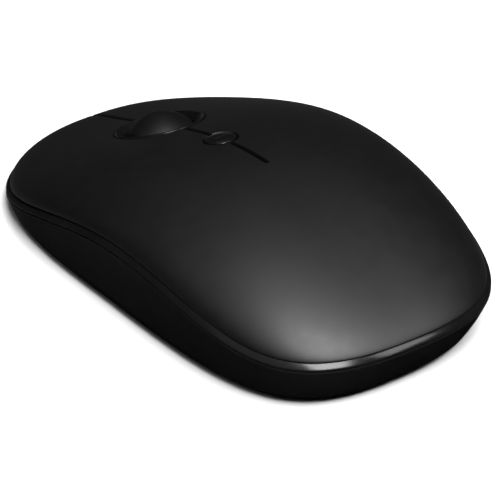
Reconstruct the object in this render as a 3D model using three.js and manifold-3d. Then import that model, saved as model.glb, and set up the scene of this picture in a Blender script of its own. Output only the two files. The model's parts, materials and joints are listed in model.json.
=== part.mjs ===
// A slim wireless mouse. Millimetres, +Z up, +Y to the front, +X to the right hand side.
// The origin is on the desk, under the middle of the outline.
import * as THREE from 'three';
import { mergeVertices } from 'three/addons/utils/BufferGeometryUtils.js';
import Module from 'manifold-3d';

const wasm = await Module();
wasm.setup();

// ---- Driving dimensions -------------------------------------------------------------------

const HALF_LENGTH = 53;             // seam outline, front to middle
const HALF_WIDTH = 30.3;            // seam outline at the middle
const FRONT_POWER = 2.36;           // roundness of the front half of the outline
const REAR_POWER = 2.48;            // roundness of the rear half
const WIDTH_TERMS = [1, 0.09, 0.23, -0.09];          // width factor along the length, as a cubic
const SEAM_TERMS = [15.5, -5.9, -19.3, 1.6, 11.6];   // seam height along the length, as a quartic
const SEAM_SIDE_LIFT = 0.55;        // extra seam height at the widest place
const CROWN_TERMS = [8.8, -3.4, 5.9];                // rise of the cover above the seam
const CROWN_POWER = 1.96;
const CROWN_ROUNDNESS = 0.57;
const REAR_SLOPE = [0.4, 0.3];      // added to those two towards the rear, where the edge is less steep

const COVER_WALL = 1.6;
const KEY_HINGE_Y = -9.5;           // living hinge line of both keys
const HINGE_CUT = 0.3;
const SLIT_WIDTH = 0.8;
const SEAM_GAP = 0.2;               // cover to rim trim behind the hinge
const SEAM_GAP_GROWTH = 0.0072;     // extra gap for each millimetre in front of the hinge

const RIM_OUT = 0.82;               // the rim's crease stands this far outside the seam
const RIM_CREASE_DROP = 1.15;
const RIM_BOTTOM_DROP = 1.45;
const RIM_DEPTH = 1.3;              // the rim's inner face, inside the seam
const LOWER_TOP_DROP = 1.65;
const LOWER_WALL = 1.6;
const BASE_Z = 0.8;                 // underside of the lower shell
const FLOOR_Z = 1.9;                // inside face of its floor
const SIDE_INSET = [2.06, -1.61, 3.24];              // side taper: middle, added in front, added behind
const SIDE_STRAIGHTNESS = 0.69;
const BASE_ROUND = 1.2;

const OPENING_Y = 27.3;             // middle of the wheel's round opening
const WHEEL_Y = 26.0;               // the cover slopes, so the axle lies behind that middle
const WHEEL_Z = 10.9;
const WHEEL_RADIUS = 7.2;
const WHEEL_HALF_WIDTH = 6.0;
const WHEEL_CROWN = 0.075;          // drop of the tread per square millimetre off centre
const HUB_RADIUS = 3.9;
const AXLE_RADIUS = 1.2;
const AXLE_LEFT = -12.6;
const AXLE_RIGHT = 12.4;
const BEZEL_HOLE = 8.85;            // hole in the keys
const BEZEL_OUTER = 8.6;
const BEZEL_INNER = [6.75, 6.7];    // across and along, squared off round the wheel
const BEZEL_DISH = 1.4;
const BEZEL_THICKNESS = 0.6;

const SPEED_Y = 6.7;
const SPEED_HOLE = 3.4;
const SPEED_RADIUS = 2.95;

const BOARD_BOTTOM = 4.6;
const BOARD_TOP = 5.8;
const BOARD_FRONT = 34.8;
const BOARD_REAR = 4.4;
const BOARD_WIDTH = 47;
const BOARD_NOTCH = 9.9;            // half width of the notch round the wheel
const SWITCH_X = 16.4;
const SWITCH_Y = 20;
const SWITCH_SIZE = [5.8, 12.8, 5.2];
const PLUNGER_TOP = BOARD_TOP + SWITCH_SIZE[2] + 0.6;
const TACT_BODY = 3.5;              // height of the small switches, without their plungers
const TACT_TOP = BOARD_TOP + 4.2;   // top of their plungers
const TACT_PLUNGER_RADIUS = 0.7;
const TACT_SINK = 0.7;              // plunger length inside the switch
const TACT_WELL = 1.1;              // depth of the hole it slides in
const WHEEL_SWITCH = [11.5, 28.8];
const SENSOR_Y = 14.6;
const LAMP = [-8.2, 11.5];
const CHIP = [11.5, 9.2];
const CRYSTAL = [-11.5, 7.4];
const CAPACITOR = [-15.6, 10.9];

const CELL_RADIUS = 5.25;
const CELL_Z = 7.7;
const CELL_REAR = -42.8;
const CELL_FRONT = 1.2;
const DOOR_X = 5.8;
const DOOR_REAR = -45.9;
const DOOR_FRONT = 3.1;
const DOOR_ROUND = 2;
const CRADLE_X = 6.3;

const RECEIVER_X = 18.8;
const RECEIVER_REAR = -16.6;
const RECEIVER_FRONT = 1.9;
const RECEIVER_SIZE = [14, 6.5, 6.2];
const RECEIVER_Z = BASE_Z + 0.1;
const POWER_X = -12.5;
const POWER_Y = 12;

const CASE_SCREW = [19.5, -24];
const CASE_SCREW_TIP = 14;
const BOSS_RADIUS = 2.6;
const BOARD_SCREW = [20, 8];
const BOARD_SCREW_TIP = 2.6;
const HEAD_RADIUS = 2.1;
const HEAD_HEIGHT = 1.4;
const SHANK_RADIUS = 0.88;
const PILOT_RADIUS = 1;
const FEET = [                      // name, middle x and y, width and length
  ['foot_front_left', -12, 42, 14, 5],
  ['foot_front_right', 12, 42, 14, 5],
  ['foot_rear_left', -15.5, -35, 5, 12],
  ['foot_rear_right', 15.5, -35, 5, 12],
];
const FOOT_TOP = 1.05;
const FOOT_RECESS = 1.1;
const FOOT_ROUND = 2.4;

const AROUND = 64;                  // facets round the outline
const GAP = 0.05;                   // drawn between pieces that touch
const BEYOND = 80;                  // past every edge of the part, for blocks that cut

// ---- Finishes -----------------------------------------------------------------------------

const finish = (color, roughness, metalness = 0) =>
  new THREE.MeshStandardMaterial({ color, roughness, metalness });
const satinBlack = () => finish(0x1b1b1c, 0.42);
const glossBlack = () => finish(0x0d0d0e, 0.12);
const matteBlack = () => finish(0x0b0b0c, 0.55);
const rubberBlack = () => finish(0x222222, 0.6);
const slideGrey = () => finish(0x2c2c2e, 0.35);
const steel = () => finish(0xb8b8bc, 0.3, 1);
const boardGreen = () => finish(0x0d4a24, 0.5);
const partBlack = () => finish(0x161616, 0.5);
const partWhite = () => finish(0xd8d6cf, 0.5);
const clearLens = () => finish(0xdfe6ea, 0.08);
const lampRed = () => finish(0xb31217, 0.2);
const cellSkin = () => finish(0x6f7d2a, 0.35);

// ---- Solids -------------------------------------------------------------------------------

function solidFrom(geometry) {
  const bare = geometry.clone();
  bare.deleteAttribute('normal');
  bare.deleteAttribute('uv');
  const merged = mergeVertices(bare, 1e-4);
  const make = (triangles) => new wasm.Manifold(new wasm.Mesh({
    numProp: 3,
    vertProperties: new Float32Array(merged.attributes.position.array),
    triVerts: triangles,
  }));
  const triangles = new Uint32Array(merged.index.array);
  const solid = make(triangles);
  return solid.volume() > 0 ? solid : make(triangles.reverse());
}

function geometryFrom(solid) {
  const mesh = solid.getMesh();
  const geometry = new THREE.BufferGeometry();
  geometry.setAttribute('position', new THREE.BufferAttribute(mesh.vertProperties, 3));
  geometry.setIndex(new THREE.BufferAttribute(mesh.triVerts, 1));
  geometry.computeVertexNormals();
  return geometry;
}

function block(x0, x1, y0, y1, z0, z1) {
  const geometry = new THREE.BoxGeometry(x1 - x0, y1 - y0, z1 - z0);
  geometry.translate((x0 + x1) / 2, (y0 + y1) / 2, (z0 + z1) / 2);
  return solidFrom(geometry);
}

// A block on one side of the middle, given by its distances from the middle.
function sideBlock(side, near, far, y0, y1, z0, z1) {
  return block(Math.min(side * near, side * far), Math.max(side * near, side * far), y0, y1, z0, z1);
}

function boxAt(x, y, z0, [width, length, height]) {
  return block(x - width / 2, x + width / 2, y - length / 2, y + length / 2, z0, z0 + height);
}

function post(radius, x, y, z0, z1, segments = 16) {
  const geometry = new THREE.CylinderGeometry(radius, radius, z1 - z0, segments);
  geometry.rotateX(Math.PI / 2);
  geometry.translate(x, y, (z0 + z1) / 2);
  return solidFrom(geometry);
}

function rodX(radius, x0, x1, y, z, segments = 20) {
  const geometry = new THREE.CylinderGeometry(radius, radius, x1 - x0, segments);
  geometry.rotateZ(Math.PI / 2);
  geometry.translate((x0 + x1) / 2, y, z);
  return solidFrom(geometry);
}

function rodY(radius, x, y0, y1, z, segments = 24) {
  const geometry = new THREE.CylinderGeometry(radius, radius, y1 - y0, segments);
  geometry.translate(x, (y0 + y1) / 2, z);
  return solidFrom(geometry);
}

function roundedPlate(x, y, width, length, radius, z0, z1, curveSegments = 4) {
  const shape = new THREE.Shape();
  const w = width / 2;
  const l = length / 2;
  shape.absarc(w - radius, l - radius, radius, 0, Math.PI / 2);
  shape.absarc(radius - w, l - radius, radius, Math.PI / 2, Math.PI);
  shape.absarc(radius - w, radius - l, radius, Math.PI, Math.PI * 1.5);
  shape.absarc(w - radius, radius - l, radius, Math.PI * 1.5, Math.PI * 2);
  const geometry = new THREE.ExtrudeGeometry(shape, {
    depth: z1 - z0, bevelEnabled: false, curveSegments,
  });
  geometry.translate(x, y, z0);
  return solidFrom(geometry);
}

// A skin through rings of points, each going round anticlockwise seen from above. An open skin
// is capped at both ends; a closed one joins its last ring to its first.
function loft(rings, closed = false) {
  const count = rings[0].length;
  const positions = rings.flat().flatMap((p) => [p.x, p.y, p.z]);
  const triangles = [];
  const bands = closed ? rings.length : rings.length - 1;
  for (let k = 0; k < bands; k++) {
    const here = k * count;
    const next = ((k + 1) % rings.length) * count;
    for (let i = 0; i < count; i++) {
      const j = (i + 1) % count;
      triangles.push(here + i, next + i, next + j, here + i, next + j, here + j);
    }
  }
  const addCap = (points, start, facesBack) => {
    const middle = points.reduce((sum, p) => sum.add(p), new THREE.Vector3()).divideScalar(count);
    const centre = positions.length / 3;
    positions.push(middle.x, middle.y, middle.z);
    for (let i = 0; i < count; i++) {
      const j = (i + 1) % count;
      const [first, second] = facesBack ? [j, i] : [i, j];
      triangles.push(centre, start + first, start + second);
    }
  };
  if (!closed) {
    addCap(rings[0], 0, false);
    addCap(rings.at(-1), (rings.length - 1) * count, true);
  }
  const geometry = new THREE.BufferGeometry();
  geometry.setAttribute('position', new THREE.Float32BufferAttribute(positions, 3));
  geometry.setIndex(triangles);
  return solidFrom(geometry);
}

// ---- The body's surfaces ------------------------------------------------------------------

const polynomial = (terms, u) => terms.reduceRight((sum, term) => sum * u + term, 0);

// Point of the seam outline at an angle: place, signed length share u and width share a.
function outline(angle) {
  const c = Math.cos(angle);
  const s = Math.sin(angle);
  const power = s > 0 ? FRONT_POWER : REAR_POWER;
  const reach = (Math.abs(c) ** power + Math.abs(s) ** power) ** (-1 / power);
  const u = reach * s;
  const a = reach * c;
  return { x: a * HALF_WIDTH * polynomial(WIDTH_TERMS, u), y: u * HALF_LENGTH, u, a };
}

const seamHeight = (u, a) => polynomial(SEAM_TERMS, u) + SEAM_SIDE_LIFT * a * a;

// Point of the cover's outside, at a share of the way from its middle to the seam.
function coverPoint(angle, share) {
  const { x, y, u, a } = outline(angle);
  const rear = Math.max(-u, 0) ** 2;
  const power = CROWN_POWER + REAR_SLOPE[0] * rear;
  const roundness = CROWN_ROUNDNESS + REAR_SLOPE[1] * rear;
  const rise = polynomial(CROWN_TERMS, u * share) * (1 - share ** power) ** roundness;
  return new THREE.Vector3(x * share, y * share, seamHeight(u * share, a * share) + rise);
}

// Height of the cover's outside over a place, found by turning to the angle that points at it.
function coverHeight(x, y) {
  let low = -Math.PI / 2;
  let high = Math.PI / 2;
  for (let step = 0; step < 40; step++) {
    const middle = (low + high) / 2;
    const edge = outline(middle);
    if (edge.y * Math.abs(x) < y * edge.x) low = middle;
    else high = middle;
  }
  const edge = outline(low);
  const share = Math.hypot(x, y) / Math.hypot(edge.x, edge.y);
  return coverPoint(low, share).z;
}

// Point beside the seam, moved outwards along the outline's normal and down.
function besideSeam(angle, outward, drop) {
  const step = 1e-3;
  const here = outline(angle);
  const before = outline(angle - step);
  const after = outline(angle + step);
  const normal = new THREE.Vector2(after.y - before.y, before.x - after.x).normalize();
  return new THREE.Vector3(
    here.x + normal.x * outward, here.y + normal.y * outward, seamHeight(here.u, here.a) - drop);
}

// Point of the lower shell's side, from its top edge (0) to its base (1).
function sidePoint(angle, down, inward) {
  const { u } = outline(angle);
  const [middle, front, rear] = SIDE_INSET;
  const inset = middle + front * Math.max(u, 0) ** 2 + rear * Math.max(-u, 0) ** 2;
  const taper = inset * (SIDE_STRAIGHTNESS * down + (1 - SIDE_STRAIGHTNESS) * down ** 2);
  const point = besideSeam(angle, RIM_OUT - taper - inward, LOWER_TOP_DROP);
  point.z += (BASE_Z - point.z) * down;
  return point;
}

const ring = (make, count = AROUND) =>
  Array.from({ length: count }, (_, i) => make((i / count) * Math.PI * 2));

const atHeight = (point, z) => {
  point.z = z;
  return point;
};

// ---- Top cover and keys -------------------------------------------------------------------

function coverShell() {
  const outside = [0.1, 0.24, 0.38, 0.51, 0.63, 0.74, 0.83, 0.9, 0.95, 0.985, 1];
  const inside = [0.95, 0.86, 0.72, 0.55, 0.36, 0.15];
  const shrink = new THREE.Vector3(1 - COVER_WALL / HALF_WIDTH, 1 - COVER_WALL / HALF_LENGTH, 1);
  const rings = outside.map((share) => ring((angle) => coverPoint(angle, share)));
  rings.push(ring((angle) => coverPoint(angle, 1).multiply(shrink)));
  for (const share of inside) {
    rings.push(ring((angle) => {
      const point = coverPoint(angle, share).multiply(shrink);
      point.z -= COVER_WALL;
      return point;
    }));
  }
  return loft(rings);
}

function palmCover(shell) {
  const [bossX, bossY] = CASE_SCREW;
  const bossBottom = 9;
  const pilotTop = CASE_SCREW_TIP + 0.6;
  const bossTop = coverHeight(bossX + BOSS_RADIUS, bossY - BOSS_RADIUS) - COVER_WALL / 2;
  let cover = shell.intersect(block(-BEYOND, BEYOND, -BEYOND, KEY_HINGE_Y - HINGE_CUT / 2, 0, BEYOND));
  for (const side of [-1, 1]) {
    cover = cover
      .add(post(BOSS_RADIUS, side * bossX, bossY, bossBottom, bossTop))
      .subtract(post(PILOT_RADIUS, side * bossX, bossY, 0, pilotTop));
  }
  return cover;
}

function key(shell, side) {
  const half = sideBlock(side, SLIT_WIDTH / 2, BEYOND, KEY_HINGE_Y + HINGE_CUT / 2, BEYOND, 0, BEYOND);
  const rib = 2.4;
  const ribBottom = PLUNGER_TOP + GAP;
  const ribTop = coverHeight(SWITCH_X + rib / 2, SWITCH_Y + rib / 2) - COVER_WALL / 2;
  return shell
    .intersect(half)
    .subtract(post(BEZEL_HOLE, 0, OPENING_Y, 0, BEYOND, 48))
    .subtract(post(SPEED_HOLE, 0, SPEED_Y, 0, BEYOND, 32))
    .add(boxAt(side * SWITCH_X, SWITCH_Y, ribBottom, [rib, rib, ribTop - ribBottom]));
}

// ---- Rim and lower shell ------------------------------------------------------------------

function rimTrim() {
  const topInset = 0.1;
  const undercut = 0.05;
  const gapAt = (y) => SEAM_GAP + SEAM_GAP_GROWTH * Math.max(y - KEY_HINGE_Y, 0);
  const top = (angle, outward) => besideSeam(angle, outward, gapAt(outline(angle).y));
  return loft([
    ring((angle) => top(angle, -RIM_DEPTH)),
    ring((angle) => top(angle, -topInset)),
    ring((angle) => besideSeam(angle, RIM_OUT, RIM_CREASE_DROP)),
    ring((angle) => besideSeam(angle, RIM_OUT - undercut, RIM_BOTTOM_DROP)),
    ring((angle) => besideSeam(angle, -RIM_DEPTH, RIM_BOTTOM_DROP)),
  ], true);
}

function lowerTray() {
  const floorInset = 0.8;           // the floor's edge stands in from the wall's inner face
  const step = 0.01;                // keeps the wall above the floor at the low front and rear
  const above = (point, z) => atHeight(point, Math.max(point.z, z));
  return loft([
    ring((angle) => atHeight(sidePoint(angle, 0.85, LOWER_WALL + floorInset), FLOOR_Z)),
    ring((angle) => above(sidePoint(angle, 0.7, LOWER_WALL), FLOOR_Z + step)),
    ring((angle) => above(sidePoint(angle, 0, LOWER_WALL), FLOOR_Z + 2 * step)),
    ring((angle) => above(sidePoint(angle, 0, 0), FLOOR_Z + 2 * step)),
    ring((angle) => sidePoint(angle, 0.35, 0)),
    ring((angle) => sidePoint(angle, 0.8, 0)),
    ring((angle) => sidePoint(angle, 1, BASE_ROUND)),
  ]);
}

function cradleWall(side) {
  const thickness = 1;
  const top = 8;
  return sideBlock(
    side, CRADLE_X, CRADLE_X + thickness, DOOR_REAR + 0.6, DOOR_FRONT - 0.2, FLOOR_Z - 0.2, top);
}

function receiverBay(grow, z0, z1) {
  const halfWidth = RECEIVER_SIZE[0] / 2 + grow;
  return block(
    RECEIVER_X - halfWidth, RECEIVER_X + halfWidth,
    RECEIVER_REAR - grow, RECEIVER_FRONT + grow, z0, z1);
}

function batteryOpening() {
  const seat = 0.3;                 // clearance round the door
  const plate = roundedPlate(
    0, (DOOR_REAR + DOOR_FRONT) / 2, 2 * (DOOR_X + seat), DOOR_FRONT - DOOR_REAR + 2 * seat,
    DOOR_ROUND + seat, 0, FLOOR_Z + 0.1);
  return plate.add(block(-CRADLE_X, CRADLE_X, DOOR_REAR, DOOR_FRONT, 0, BOARD_TOP));
}

function screwTowers(shell) {
  const [caseX, caseY] = CASE_SCREW;
  const [boardX, boardY] = BOARD_SCREW;
  const caseTop = 8.6;
  const counterbore = 2.7;
  const rooted = FLOOR_Z - 0.5;
  for (const side of [-1, 1]) {
    shell = shell
      .add(post(3.4, side * caseX, caseY, rooted, caseTop))
      .add(post(2.4, side * boardX, boardY, rooted, BOARD_BOTTOM - GAP))
      .subtract(post(HEAD_RADIUS + 0.5, side * caseX, caseY, 0, counterbore))
      .subtract(post(1.15, side * caseX, caseY, 0, BEYOND, 16))
      .subtract(post(PILOT_RADIUS, side * boardX, boardY, 2.2, BEYOND, 16));
  }
  return shell;
}

function lowerShell() {
  const bayWall = 1;
  const bayClearance = 0.3;
  const bayTop = BASE_Z + RECEIVER_SIZE[2] + 0.5;
  const fingerRoom = block(
    RECEIVER_X - 4, RECEIVER_X + 4, RECEIVER_FRONT, RECEIVER_FRONT + 2.4, 0, BASE_Z + 0.7);
  const bay = receiverBay(bayClearance + bayWall, FLOOR_Z - 0.5, bayTop + bayWall);
  let shell = screwTowers(lowerTray().add(bay))
    .add(cradleWall(-1))
    .add(cradleWall(1))
    .subtract(receiverBay(bayClearance, 0, bayTop))
    .subtract(fingerRoom)
    .subtract(batteryOpening())
    .subtract(roundedPlate(0, SENSOR_Y, 6, 8, 2, 0, FLOOR_Z + 1))
    .subtract(roundedPlate(POWER_X, POWER_Y, 3.6, 8, 1.2, 0, FLOOR_Z + 1));
  for (const [, x, y, width, length] of FEET) {
    const recess = [width + 0.4, length + 0.4];
    shell = shell.subtract(roundedPlate(x, y, ...recess, FOOT_ROUND + 0.2, 0, FOOT_RECESS));
  }
  return shell;
}

function batteryDoor() {
  const middle = (DOOR_REAR + DOOR_FRONT) / 2;
  const plate = roundedPlate(
    0, middle, 2 * DOOR_X, DOOR_FRONT - DOOR_REAR, DOOR_ROUND, BASE_Z, FLOOR_Z);
  const fingerNotch = roundedPlate(0, DOOR_FRONT - 4, 9, 3.4, 1.6, 0, BASE_Z + 0.4);
  return plate.subtract(fingerNotch);
}

// ---- Scroll wheel -------------------------------------------------------------------------

function turnedAboutAxle(profile, segments) {
  const points = profile.map(([radius, x]) => new THREE.Vector2(radius, x));
  const geometry = new THREE.LatheGeometry(points, segments);
  geometry.rotateZ(-Math.PI / 2);
  geometry.translate(0, WHEEL_Y, WHEEL_Z);
  return solidFrom(geometry);
}

function wheelTyre() {
  const steps = 8;
  const tread = Array.from({ length: steps + 1 }, (_, i) => {
    const x = WHEEL_HALF_WIDTH * (2 * i / steps - 1);
    return [WHEEL_RADIUS - WHEEL_CROWN * x * x, x];
  });
  const bore = HUB_RADIUS + GAP;
  const start = [bore, -WHEEL_HALF_WIDTH];
  return turnedAboutAxle([start, ...tread, [bore, WHEEL_HALF_WIDTH], start], 40);
}

// Both faces of the hub are hollowed down to a web.
function wheelHub() {
  const bore = AXLE_RADIUS + GAP;
  const face = WHEEL_HALF_WIDTH - 0.2;
  const web = 2.2;
  const sleeve = bore + 0.95;
  const rim = HUB_RADIUS - 0.6;
  const draft = 0.2;
  return turnedAboutAxle([
    [bore, -face], [sleeve, -face], [sleeve + draft, -web], [rim - draft, -web], [rim, -face],
    [HUB_RADIUS, -face], [HUB_RADIUS, face], [rim, face], [rim - draft, web],
    [sleeve + draft, web], [sleeve, face], [bore, face], [bore, -face],
  ], 20);
}

const axleRod = (grow, x0, x1, z = WHEEL_Z) => rodX(AXLE_RADIUS + grow, x0, x1, WHEEL_Y, z, 24);

// A yoke round the front of the wheel. Its arm reaches over the switch that the wheel presses.
function wheelCarrier() {
  const inner = 8.2;
  const outer = 9.5;
  const bottom = 3;
  const beamTop = 6.2;
  const cheekTop = WHEEL_Z + AXLE_RADIUS + 0.4;
  const cheek = 2.2;                // half length of the cheek that holds the axle
  const front = WHEEL_Y + WHEEL_RADIUS + 2;
  const [armX, armY] = WHEEL_SWITCH;
  const armTop = 11.3;
  const armBottom = TACT_TOP + GAP;
  let yoke = block(-outer, outer, front - 1.4, front, bottom, beamTop);
  for (const side of [-1, 1]) {
    yoke = yoke
      .add(sideBlock(side, inner, outer, WHEEL_Y - cheek, front, bottom, beamTop))
      .add(sideBlock(side, inner, outer, WHEEL_Y - cheek, WHEEL_Y + cheek, beamTop - 1, cheekTop));
  }
  return yoke
    .add(block(outer - 0.5, armX + 1.5, WHEEL_Y + cheek - 0.6, WHEEL_Y + cheek, armBottom, armTop))
    .add(block(armX - 1.1, armX + 1.1, WHEEL_Y + cheek - 0.6, armY + 1.2, armBottom, armTop))
    .subtract(axleRod(GAP, -BEYOND, BEYOND));
}

// The axle's slot is tall enough for the wheel's click.
function wheelEncoder() {
  const top = WHEEL_Z + AXLE_RADIUS + 0.4;
  const body = block(-12.4, -9.9, WHEEL_Y - 3.8, WHEEL_Y + 2, BOARD_TOP + GAP, top);
  const slot = axleRod(0.25, -BEYOND, 0).add(axleRod(0.25, -BEYOND, 0, WHEEL_Z - 0.6));
  return body.subtract(slot);
}

// The dished ring follows the cover's surface all the way round the wheel.
function wheelBezel() {
  const skirt = 0.9;
  const at = (share, drop, shrink = 0) => ring((angle) => {
    const outer = BEZEL_OUTER - shrink;
    const [across, along] = BEZEL_INNER.map((inner) => outer + (inner - BEZEL_OUTER) * share);
    const [c, s] = [Math.cos(angle), Math.sin(angle)];
    const power = 2 + share;
    const reach = (Math.abs(c) ** power + Math.abs(s) ** power) ** (-1 / power);
    const x = across * reach * c;
    const y = OPENING_Y + along * reach * s;
    return new THREE.Vector3(x, y, coverHeight(x, y) - drop);
  }, 48);
  return loft([
    at(0, 0.05, 0.25),
    at(0, 0.25),
    at(0, BEZEL_THICKNESS + skirt),
    at(1, BEZEL_DISH + BEZEL_THICKNESS),
    at(1, BEZEL_DISH + 0.1),
    at(0.6, BEZEL_DISH * 0.75),
  ], true);
}

// ---- Pointer-speed button -----------------------------------------------------------------

function speedButton() {
  const skirt = 3.2;
  const stemRadius = 1.3;
  const domeRise = [[0.8, 0.42], [1.6, 0.36], [2.3, 0.24], [2.7, 0.1], [SPEED_RADIUS, -0.12]];
  const over = (radius, rise) => ring((angle) => {
    const x = radius * Math.cos(angle);
    const y = SPEED_Y + radius * Math.sin(angle);
    return new THREE.Vector3(x, y, coverHeight(x, y) + rise);
  }, 32);
  const bottom = coverHeight(0, SPEED_Y) - skirt;
  const disc = (radius) => over(radius, 0).map((point) => atHeight(point, bottom));
  const rings = domeRise.map(([radius, rise]) => over(radius, rise));
  return loft([...rings, disc(SPEED_RADIUS), disc(stemRadius + 0.2)])
    .add(post(stemRadius, 0, SPEED_Y, TACT_TOP + GAP, bottom + 0.5, 16));
}

// ---- Electronics --------------------------------------------------------------------------

function circuitBoard() {
  const [holeX, holeY] = BOARD_SCREW;
  const middle = (BOARD_REAR + BOARD_FRONT) / 2;
  let board = roundedPlate(0, middle, BOARD_WIDTH, BOARD_FRONT - BOARD_REAR, 3, BOARD_BOTTOM, BOARD_TOP)
    .subtract(block(-BOARD_NOTCH, BOARD_NOTCH, middle, BEYOND, 0, BEYOND))
    .subtract(boxAt(0, SENSOR_Y, 0, [4, 4.4, BEYOND]));
  for (const side of [-1, 1]) {
    board = board.subtract(post(1.2, side * holeX, holeY, 0, BEYOND, 16));
  }
  return board;
}

function keySwitch(side) {
  const well = boxAt(side * SWITCH_X, SWITCH_Y, BOARD_TOP + SWITCH_SIZE[2] - 0.9, [1.6, 3, 2]);
  return boxAt(side * SWITCH_X, SWITCH_Y, BOARD_TOP + GAP, SWITCH_SIZE).subtract(well);
}

function keyPlunger(side) {
  const bottom = BOARD_TOP + SWITCH_SIZE[2] - 0.5;
  return boxAt(side * SWITCH_X, SWITCH_Y, bottom, [1.3, 2.6, PLUNGER_TOP - bottom]);
}

function tactSwitch([x, y], size) {
  const bodyTop = BOARD_TOP + TACT_BODY;
  return block(x - size / 2, x + size / 2, y - size / 2, y + size / 2, BOARD_TOP + GAP, bodyTop)
    .subtract(post(TACT_PLUNGER_RADIUS + 0.2, x, y, bodyTop - TACT_WELL, BEYOND, 12));
}

const tactPlunger = ([x, y]) =>
  post(TACT_PLUNGER_RADIUS, x, y, BOARD_TOP + TACT_BODY - TACT_SINK, TACT_TOP, 12);

function sensorLens() {
  const plate = roundedPlate(0, SENSOR_Y, 9.4, 8.4, 1.5, FLOOR_Z + GAP, BOARD_BOTTOM - 0.2);
  return plate.add(post(2.2, 0, SENSOR_Y, 1.3, FLOOR_Z + 0.5, 20));
}

function sensorLamp() {
  const bottom = BOARD_TOP + GAP;
  return post(1.5, ...LAMP, bottom, BOARD_TOP + 3.2, 16).add(post(1.8, ...LAMP, bottom, BOARD_TOP + 0.7, 16));
}

// A slotted screw whose shank runs from its head to the tip, up or down.
function screw(x, y, headBottom, tip) {
  const headTop = headBottom + HEAD_HEIGHT;
  const upwards = tip > headTop;
  const slotDepth = 0.6;
  const slot = [2.4, 0.6, 1 + slotDepth];
  return post(HEAD_RADIUS, x, y, headBottom, headTop, 18)
    .add(post(SHANK_RADIUS, x, y, upwards ? headTop - 0.2 : tip, upwards ? tip : headBottom + 0.2, 12))
    .subtract(boxAt(x, y, upwards ? headBottom - 1 : headTop - slotDepth, slot));
}

// ---- Power and receiver -------------------------------------------------------------------

function batteryCell() {
  const nub = 1;
  return rodY(CELL_RADIUS, 0, CELL_REAR, CELL_FRONT - nub, CELL_Z, 32)
    .add(rodY(1.9, 0, CELL_FRONT - nub - 0.5, CELL_FRONT, CELL_Z, 16));
}

class ConeCoil extends THREE.Curve {
  getPoint(share) {
    const turns = 2.5;
    const angle = share * turns * Math.PI * 2;
    const radius = 4.1 - 1.9 * share;
    return new THREE.Vector3(
      radius * Math.cos(angle), CELL_REAR - 2.5 + 2.1 * share, CELL_Z + radius * Math.sin(angle));
  }
}

// Both contacts are plates that stand across the cradle. The rear one carries the spring.
const contactPlate = (y) => boxAt(0, y, 3.6, [2 * (CRADLE_X - GAP), 0.5, 7.6]);

function cellSpring() {
  const wire = new THREE.Shape();
  wire.absarc(0, 0, 0.25, 0, Math.PI * 2);
  const coil = solidFrom(new THREE.ExtrudeGeometry(wire, {
    steps: 34, curveSegments: 3, bevelEnabled: false, extrudePath: new ConeCoil(),
  }));
  return coil.add(contactPlate(CELL_REAR - 2.7));
}

function receiverBody() {
  const [width, length, height] = RECEIVER_SIZE;
  const middle = RECEIVER_FRONT - length / 2;
  return roundedPlate(RECEIVER_X, middle, width, length, 1.2, RECEIVER_Z, RECEIVER_Z + height);
}

function receiverPlug() {
  const [, length, height] = RECEIVER_SIZE;
  const [plugWidth, plugHeight] = [12, 4.5];
  const wall = 0.4;
  const tongue = 1.9;
  const base = RECEIVER_Z + (height - plugHeight) / 2;
  const front = RECEIVER_FRONT - length - GAP;
  const mouth = block(
    RECEIVER_X - plugWidth / 2 + wall, RECEIVER_X + plugWidth / 2 - wall,
    RECEIVER_REAR - 1, front - 1, base + wall + tongue, base + plugHeight - wall);
  return block(
    RECEIVER_X - plugWidth / 2, RECEIVER_X + plugWidth / 2, RECEIVER_REAR, front, base, base + plugHeight)
    .subtract(mouth);
}

function powerSwitch() {
  const bottom = 3;
  return boxAt(POWER_X, POWER_Y, bottom, [4.6, 9, BOARD_BOTTOM - GAP - bottom]);
}

function powerSlider() {
  const middle = POWER_Y - 1.6;
  const knobBottom = BASE_Z - 0.2;
  return boxAt(POWER_X, middle, FLOOR_Z + GAP, [4.6, 5.4, 0.9])
    .add(boxAt(POWER_X, middle, knobBottom, [3, 4, FLOOR_Z + 0.2 - knobBottom]));
}

// ---- Assembly -----------------------------------------------------------------------------

const mouse = new THREE.Group();
mouse.name = 'wireless_mouse';

function addPiece(name, solid, material) {
  const mesh = new THREE.Mesh(geometryFrom(solid), material);
  mesh.name = name;
  mouse.add(mesh);
}

function addCasing() {
  const shell = coverShell();
  const [caseX, caseY] = CASE_SCREW;
  const [boardX, boardY] = BOARD_SCREW;
  addPiece('palm_cover', palmCover(shell), satinBlack());
  for (const [hand, side] of [['left', -1], ['right', 1]]) {
    addPiece(`${hand}_key`, key(shell, side), satinBlack());
    addPiece(`${hand}_switch`, keySwitch(side), partBlack());
    addPiece(`${hand}_plunger`, keyPlunger(side), partWhite());
    addPiece(`case_screw_${hand}`, screw(side * caseX, caseY, 1.2, CASE_SCREW_TIP), steel());
    addPiece(`board_screw_${hand}`, screw(side * boardX, boardY, BOARD_TOP + GAP, BOARD_SCREW_TIP), steel());
  }
  addPiece('rim_trim', rimTrim(), glossBlack());
  addPiece('lower_shell', lowerShell(), matteBlack());
  addPiece('battery_door', batteryDoor(), matteBlack());
  for (const [name, x, y, width, length] of FEET) {
    addPiece(name, roundedPlate(x, y, width, length, FOOT_ROUND, 0, FOOT_TOP), slideGrey());
  }
}

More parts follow.
